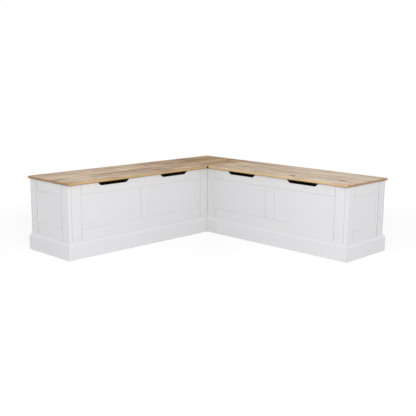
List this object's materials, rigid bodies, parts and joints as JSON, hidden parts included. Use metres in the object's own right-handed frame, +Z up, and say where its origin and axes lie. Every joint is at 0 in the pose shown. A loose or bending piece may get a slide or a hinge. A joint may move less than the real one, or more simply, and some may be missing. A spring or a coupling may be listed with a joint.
{
  "type": "corner storage bench",
  "caption": "L-shaped storage bench of framed and panelled boxes with hinged wooden lids, a fixed square corner top, finger cut-outs and a moulded plinth.",
  "frame": {"origin": "on the floor under the middle of the bounding box of the whole bench", "axes": "+Z up; the left arm runs along X with its back towards +Y, and the right arm runs along Y with its back towards +X"},
  "size_m": [1.5404, 1.5404, 0.45],
  "materials": {
    "painted_wood": "off-white satin paint, brushed",
    "pine_lid": "edge-glued pine boards, waxed",
    "corner_pine_top": "edge-glued pine boards, waxed, browner",
    "bare_pine": "planed softwood, unfinished",
    "hinge_brass": "satin brass"
  },
  "bodies": {
    "carcass": {"left_front_outer_stile": "painted_wood", "left_front_mid_stile": "painted_wood", "left_front_inner_stile": "painted_wood", "left_front_top_rail": "painted_wood", "left_front_bottom_rail": "painted_wood", "left_front_outer_panel": "painted_wood", "left_front_inner_panel": "painted_wood", "left_end_front_stile": "painted_wood", "left_end_back_stile": "painted_wood", "left_end_top_rail": "painted_wood", "left_end_bottom_rail": "painted_wood", "left_end_panel": "painted_wood", "left_inner_end_board": "painted_wood", "left_back_board": "painted_wood", "left_floor_board": "bare_pine", "left_front_plinth": "painted_wood", "left_end_plinth": "painted_wood", "left_outer_hinge_fixed_leaf": "hinge_brass", "left_outer_hinge_pin": "hinge_brass", "left_inner_hinge_fixed_leaf": "hinge_brass", "left_inner_hinge_pin": "hinge_brass", "right_front_outer_stile": "painted_wood", "right_front_mid_stile": "painted_wood", "right_front_inner_stile": "painted_wood", "right_front_top_rail": "painted_wood", "right_front_bottom_rail": "painted_wood", "right_front_outer_panel": "painted_wood", "right_front_inner_panel": "painted_wood", "right_end_front_stile": "painted_wood", "right_end_back_stile": "painted_wood", "right_end_top_rail": "painted_wood", "right_end_bottom_rail": "painted_wood", "right_end_panel": "painted_wood", "right_inner_end_board": "painted_wood", "right_back_board": "painted_wood", "right_floor_board": "bare_pine", "right_front_plinth": "painted_wood", "right_end_plinth": "painted_wood", "right_outer_hinge_fixed_leaf": "hinge_brass", "right_outer_hinge_pin": "hinge_brass", "right_inner_hinge_fixed_leaf": "hinge_brass", "right_inner_hinge_pin": "hinge_brass", "corner_top": "corner_pine_top", "corner_post": "painted_wood", "corner_left_back": "painted_wood", "corner_right_back": "painted_wood", "corner_left_back_cleat": "bare_pine", "corner_right_back_cleat": "bare_pine", "corner_left_end_cleat": "bare_pine", "corner_right_end_cleat": "bare_pine"},
    "left_seat": {"left_lid": "pine_lid", "left_lid_outer_batten": "bare_pine", "left_lid_inner_batten": "bare_pine", "left_outer_hinge_lid_leaf": "hinge_brass", "left_inner_hinge_lid_leaf": "hinge_brass"},
    "right_seat": {"right_lid": "pine_lid", "right_lid_outer_batten": "bare_pine", "right_lid_inner_batten": "bare_pine", "right_outer_hinge_lid_leaf": "hinge_brass", "right_inner_hinge_lid_leaf": "hinge_brass"}
  },
  "joints": [
    {"name": "left_lid_hinge", "type": "hinge", "parent": "carcass", "child": "left_seat", "pos_m": [-0.21265, 0.76615, 0.43385], "axis": [-1, 0, 0], "range_deg": [0, 95]},
    {"name": "right_lid_hinge", "type": "hinge", "parent": "carcass", "child": "right_seat", "pos_m": [0.76615, -0.21265, 0.43385], "axis": [0, 1, 0], "range_deg": [0, 95]}
  ]
}
